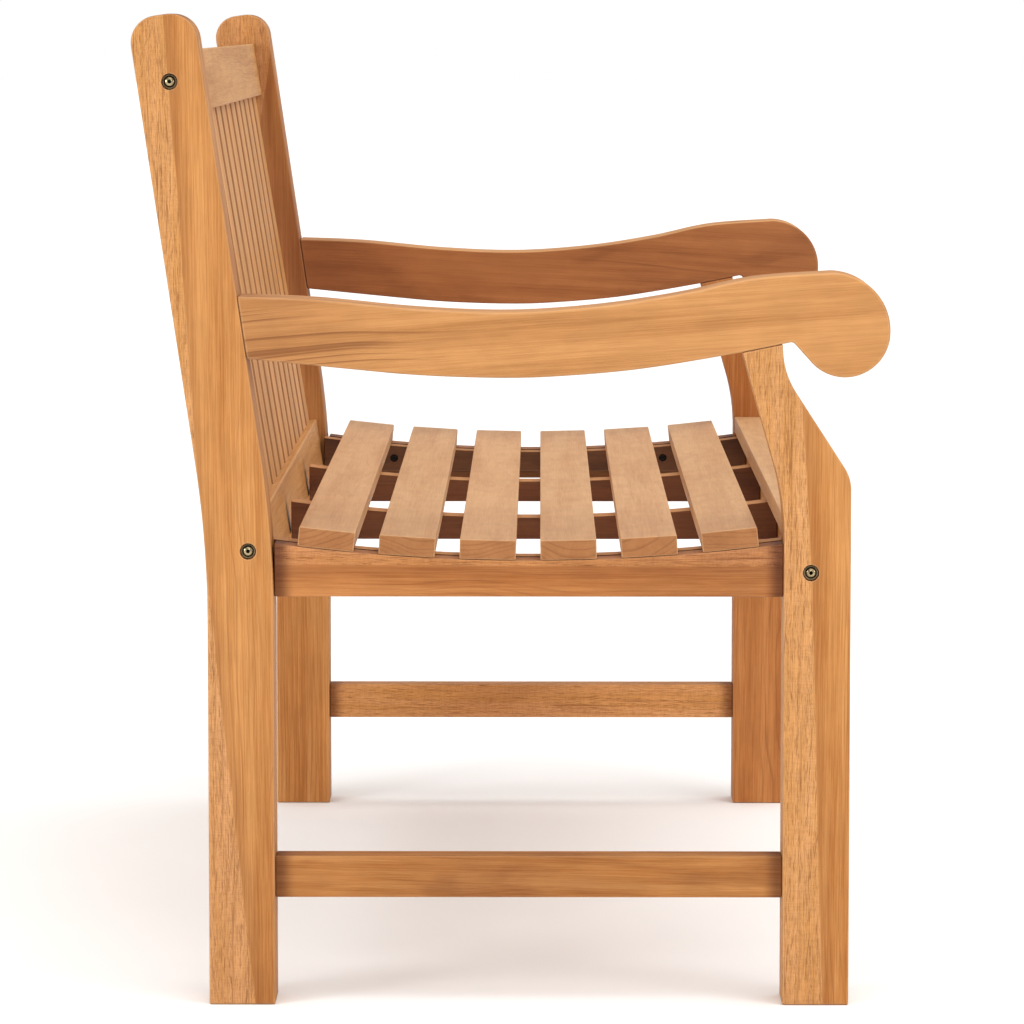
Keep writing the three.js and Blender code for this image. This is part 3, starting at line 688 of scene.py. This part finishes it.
for name, side in SIDES:
    wood, place = WOOD[name], side_place(side * SIDE_X)
    between = POST_FRONT + GAP, FRONT_REAR - GAP
    board(f"back_post_{name}", back_post_outline(), LEG_T, place, material=FRAME, ease=POST_EASE,
          cutters=[sink_cutter(*BOLTS[which], side) for which in ("rear", "top")], **wood["back_post"])
    board(f"front_post_{name}", front_post_outline(), LEG_T, place, material=FRAME, ease=POST_EASE,
          cutters=[sink_cutter(*BOLTS["front"], side)], **wood["front_post"])
    # the arm's top face takes a paler tone, painted light
    board(f"arm_{name}", arm_outline(), LEG_T, place, material=ARM, ease=ARM_EASE,
          facing=((UP, (1.05, 0.0, 0.0)),), **wood["arm"])
    # the apron's darker tone, its much darker inner face and its darkened ends are painted shade under the
    # seat and beside the posts
    board(f"side_apron_{name}", dished_outline(*between, APRON_Z0), APRON_T, place, material=FRAME,
          ease=RAIL_EASE, tone=(0.84, 0.1, 0.15), facing=((INNER_SIDE[side], (0.42, 0.08, 0.1)),),
          band=apron_band, heartwood_and_shade=(0, 190, 120, 0.3), ends=(POST_FRONT, FRONT_REAR, 0.9),
          **wood["side_apron"])
    # the stretcher's darkened ends are painted shade beside the posts
    board(f"side_stretcher_{name}", box_outline(*between, STRETCH_Z0, STRETCH_Z1), STRETCH_T, place,
          material=FRAME, ease=RAIL_EASE, heartwood_and_shade=(0, -20, 150, 0.3), ends=(POST_FRONT, FRONT_REAR, 0.7),
          **wood["side_stretcher"])
    board(f"seat_end_bearer_{name}", dished_outline(BEARER_REAR, RAIL_F0 - GAP, BEARER_Z0), END_BEARER_T,
          side_place(side * END_BEARER_X), log_place(0, (420, -30), 2100 + 900 * side, 0.01), BACK,
          ease=BEARER_EASE, tone=(0.19, 0.06, 0.7), facing=(BEARER_TOP,),
          cutters=[screw_sink(*spot, side) for spot in SCREWS.values()])

for i, x in enumerate((-MIDDLE_X, MIDDLE_X)):
    board(f"seat_bearer_{i + 1}", dished_outline(BEARER_REAR, RAIL_F0 - GAP, BEARER_Z0), BEARER_T,
          side_place(x), log_place(0, (400, 28), 5000 + 1700 * i, 0.01), BACK, ease=BEARER_EASE,
          tone=(0.25, 0.09, 0.7), facing=(BEARER_TOP,))


# ---------------------------------------------------------------- rails, back slats and seat slats
def rail(name, z, height, thick, place, log, material, bolt_z, **more):
    """Rail along X with the nut holes in its rear face; outline is (y, z), thickness along x."""
    outline = box_outline(-thick / 2, thick / 2, z - height / 2, z + height / 2)
    holes = [nut_hole(side * (INNER - NUT_INSET), bolt_z, thick) for _, side in SIDES]
    board(name, outline, RAIL_LENGTH, place @ CROSS, log, material, cutters=holes, **more)


rail("front_seat_rail", (RAIL_Z0 + RAIL_Z1) / 2, RAIL_Z1 - RAIL_Z0, RAIL_F1 - RAIL_F0,
     basis((1, 0, 0), (0, 1, 0), (0, 0, 1), (0, -(RAIL_F0 + RAIL_F1) / 2, 0)),
     log_place(2, (60, 250), 9100, 0.004), FRAME, BOLTS["front"][1])
rail("lower_back_rail", 0, LOW_RAIL_H, LOW_RAIL_T, PANEL, log_place(2, (-70, 160), 300, 0.004), BACK,
     BOLT_RISE, tone=(0.97, 0.03, 0.1))
rail("top_rail", RAIL_PITCH, TOP_RAIL_H, TOP_RAIL_T, PANEL, log_place(2, (-60, 520), 1800, 0.005), BACK,
     RAIL_PITCH + BOLT_RISE, tone=(0.95, 0.01, 0.1))

# the slats' side faces take a dark tone, painted shade in the gaps between them
SLAT_SIDES = [((way, 0, 0), (0.5, 0.08, 0.0)) for way in (-1, 1)]
slat_pitch = 2 * INNER / BACK_SLATS - (2 * INNER / BACK_SLATS - BACK_SLAT_W) / (BACK_SLATS + 1)
slat_low = LOW_RAIL_H / 2 - SLAT_ENTRY
slat_high = RAIL_PITCH - TOP_RAIL_H / 2 + SLAT_ENTRY
for i in range(BACK_SLATS):
    x = (i - (BACK_SLATS - 1) / 2) * slat_pitch
    outline = box_outline(x - BACK_SLAT_W / 2, x + BACK_SLAT_W / 2, slat_low, slat_high)
    shade = ((i * 7) % 5 - 2) / 2
    board(f"back_slat_{i + 1:02d}", outline, BACK_SLAT_T, PANEL @ ON_EDGE,
          log_place(1, (x + 90 * shade, 40 + 17 * ((i * 3) % 4)), 1100 * i, 0.008 * shade), BACK,
          tone=(1.07 + 0.05 * shade, 0.015 + 0.02 * shade, 0.1), facing=SLAT_SIDES)

SEAT_SHADES = (0.2, -0.6, 0.4, -0.3, 0.6, 0.0, -0.2)
for i, shade in enumerate(SEAT_SHADES):
    f = SEAT_FIRST + i * SEAT_PITCH
    if i < SEAT_SLATS:
        tilt = math.asin((f - DISH_F) / DISH_R)
        lift = SEAT_SLAT_T / 2 + SLAT_LIFT
        place = turn_x(-tilt, (0, -f + lift * sin(tilt), dish(f) + lift * cos(tilt)))
        length = SEAT_SLAT_L
    else:
        place, length = turn_x(0, (0, -f, FRONT_SLAT_Z - SEAT_SLAT_T / 2)), RAIL_LENGTH
    board(f"seat_slat_{i + 1}",
          box_outline(-SEAT_SLAT_W / 2, SEAT_SLAT_W / 2, -SEAT_SLAT_T / 2, SEAT_SLAT_T / 2), length,
          place @ CROSS, log_place(2, (50 * shade + 20, 70 + 30 * (i % 3)), 1500 * i, 0.003), SEAT,
          ease=SLAT_EASE, tone=(1.0 + 0.03 * shade, 0.01 * shade, 0.16))


# ---------------------------------------------------------------- fittings
BOLT_PROFILE = [(0, 0.12), (1.9, 0.02), (2.6, -0.14), (3.3, -0.38), (4.0, -0.76), (4.6, -1.25), (5.0, -1.8),
                (5.1, -2.2), (6.25, -2.3), (6.6, -2.6), (6.6, -3.3), (6.4, -3.6), (3, -3.6), (3, -80),
                (2, -82), (0, -82)]
SCREW_PROFILE = [(0, 0), (3.6, 0), (4.0, -0.25), (3.9, -0.5), (2, -2.6), (2, -36), (0.3, -44), (0, -44)]
NUT_PROFILE = [(0, 7.5), (4.4, 7.5), (5, 6.9), (5, -6.9), (4.4, -7.5), (0, -7.5)]
NUT_SLOT, SCREW_SLOT = (9, 1.3, 2.4), (4.6, 1.0, 2.4)
DOME_CLEAN_HIGHLIGHT, DOME_FADE, FLANGE_R = 2.9, 1.2, 5.6
DOME_GRIME_AND_SHADE, FLANGE_GRIME_AND_SHADE = 0.85, 0.45
METAL_CREASE = radians(32)
AXIS_OUT = {-1: basis((0, 1, 0), (0, 0, -1), (-1, 0, 0)), 1: basis((0, 1, 0), (0, 0, 1), (1, 0, 0))}


def grime_and_shade(spot):
    """How dark a fitting is painted: black in the socket and dull on the dome's side as painted shade, so
    the dome's clean centre reads as a painted highlight, and cleaner again on its flange.
    """
    out = spot.xy.length
    if spot.z < -0.3 and out < SOCKET_R + 0.05:
        return 1.0
    if out > FLANGE_R:
        return FLANGE_GRIME_AND_SHADE
    return DOME_GRIME_AND_SHADE * min(max((out - DOME_CLEAN_HIGHLIGHT) / DOME_FADE, 0.0), 1.0)


def fitting(profile, segments, node, place, material, cutters):
    """Turned metal piece with its recess cut in the head."""
    obj = solid(lathe(profile, segments), node)
    carve(obj, cutters)
    for p in obj.data.polygons:
        p.use_smooth = True
    store(obj.data, "grime_and_shade", "FLOAT", "POINT", [grime_and_shade(v.co) for v in obj.data.vertices])
    obj.data.set_sharp_from_angle(angle=METAL_CREASE)
    obj.data.transform(place)
    finish_piece(obj, node, material)


for name, side in SIDES:
    for which, (f, z) in BOLTS.items():
        x = side * (LENGTH / 2 - SINK_DEPTH + HEAD_HEIGHT + GAP)
        place = Matrix.Translation(Vector((x, -f, z)) * MM) @ AXIS_OUT[side]
        socket = solid(prism(6, SOCKET_R, -SOCKET_DEPTH, SOCKET_DEPTH, 0.35 + f), "cutter")
        fitting(BOLT_PROFILE, 48, f"bolt_{which}_{name}", place, BRASS, [socket])
        lean = 0 if which == "front" else -PANEL_RAKE
        place = turn_x(lean, (side * (INNER - NUT_INSET), -f, z)) @ INTO_REAR
        slot = bar(NUT_SLOT, Matrix.Translation((0, 0, NUT_LENGTH / 2)))
        fitting(NUT_PROFILE, 40, f"barrel_nut_{which}_{name}", place, BRASS, [slot])
    for which, (f, z) in SCREWS.items():
        x = side * (END_BEARER_X - END_BEARER_T / 2 + SCREW_BELOW)
        place = Matrix.Translation(Vector((x, -f, z)) * MM) @ AXIS_OUT[-side]
        recess = [bar(SCREW_SLOT, Matrix.Rotation(turn, 4, "Z")) for turn in (0.4, 0.4 + pi / 2)]
        fitting(SCREW_PROFILE, 32, f"bearer_screw_{which}_{name}", place, STEEL, recess)


# ---------------------------------------------------------------- floor, light and camera
STAGE_R, FLOOR_BELOW = 66.0, 0.0004         # metres


def floor():
    """Plain pale floor just under the feet."""
    bm = bmesh.new()
    bmesh.ops.create_circle(bm, cap_ends=True, segments=96, radius=STAGE_R)
    obj = solid(bm, "floor", Matrix.Translation((0, 0, -FLOOR_BELOW)))
    n = Nodes("pale_floor")
    cloud = n.noise(n.add("TexCoord").outputs["Object"], 3.0, 0.5, scale=3.0)
    n.set(Base_Color=n.mix(cloud, linear("#f6f5f4"), linear("#f9f9f8")), Roughness=0.9)
    obj.data.materials.append(n.material)


def backdrop():
    """White surround behind the floor's edge; it is seen but gives no light."""
    bm = bmesh.new()
    bmesh.ops.create_uvsphere(bm, u_segments=64, v_segments=32, radius=STAGE_R)
    obj = solid(bm, "backdrop")
    n = Nodes("white_surround")
    n.set(Base_Color=(0, 0, 0, 1), Specular_IOR_Level=0.0, Emission_Color=WHITE, Emission_Strength=1.0)
    obj.data.materials.append(n.material)
    obj.visible_diffuse = obj.visible_glossy = obj.visible_shadow = obj.visible_transmission = False


def lamp(kind, name, place, target, energy, **props):
    light = bpy.data.lights.new(name, kind)
    light.energy = energy
    for key, value in props.items():
        setattr(light, key, value)
    obj = link(name, light)
    obj.location = place
    obj.rotation_euler = (Vector(target) - Vector(place)).to_track_quat("-Z", "Y").to_euler()


floor()
backdrop()
lamp("SUN", "soft_sun", (-1.2, -0.9, 4.4), (0, 0, 0.2), 2.2, color=(1.0, 0.985, 0.965), angle=radians(80))
lamp("AREA", "near_fill_front", (-2.3, -2.5, 1.2), (-0.1, 0, 0.45), 19, shape="DISK", size=1.2)
lamp("AREA", "near_fill_rear", (-2.3, 2.5, 1.2), (-0.1, 0, 0.45), 34, shape="DISK", size=1.2)
lamp("AREA", "catch_light", (-3.6, -0.35, 1.5), (-0.6, 0, 0.5), 5, shape="DISK", size=0.5)

world = bpy.data.worlds.new("studio")
world.use_nodes = True
sky = world.node_tree.nodes["Background"].inputs
sky["Color"].default_value, sky["Strength"].default_value = WHITE, 0.66
scene = bpy.context.scene
scene.world = world
scene.view_settings.view_transform = "Standard"

CAMERA_AT = Vector((-4.97888, -0.02632, 0.89532))
YAW, PITCH = 0.0059, 0.0905
FOCAL, SENSOR, SHIFT = 171.24, 36.0, -0.05
lens = bpy.data.cameras.new("camera")
lens.lens, lens.sensor_width, lens.shift_y = FOCAL, SENSOR, SHIFT
lens.clip_start, lens.clip_end = 0.1, 200
camera = link("camera", lens)
forward = Vector((cos(YAW) * cos(PITCH), sin(YAW) * cos(PITCH), -sin(PITCH)))
right = Vector((sin(YAW), -cos(YAW), 0))
turned = Matrix((right, right.cross(forward), -forward)).transposed().to_4x4()
turned.translation = CAMERA_AT
camera.matrix_world = turned
scene.camera = camera
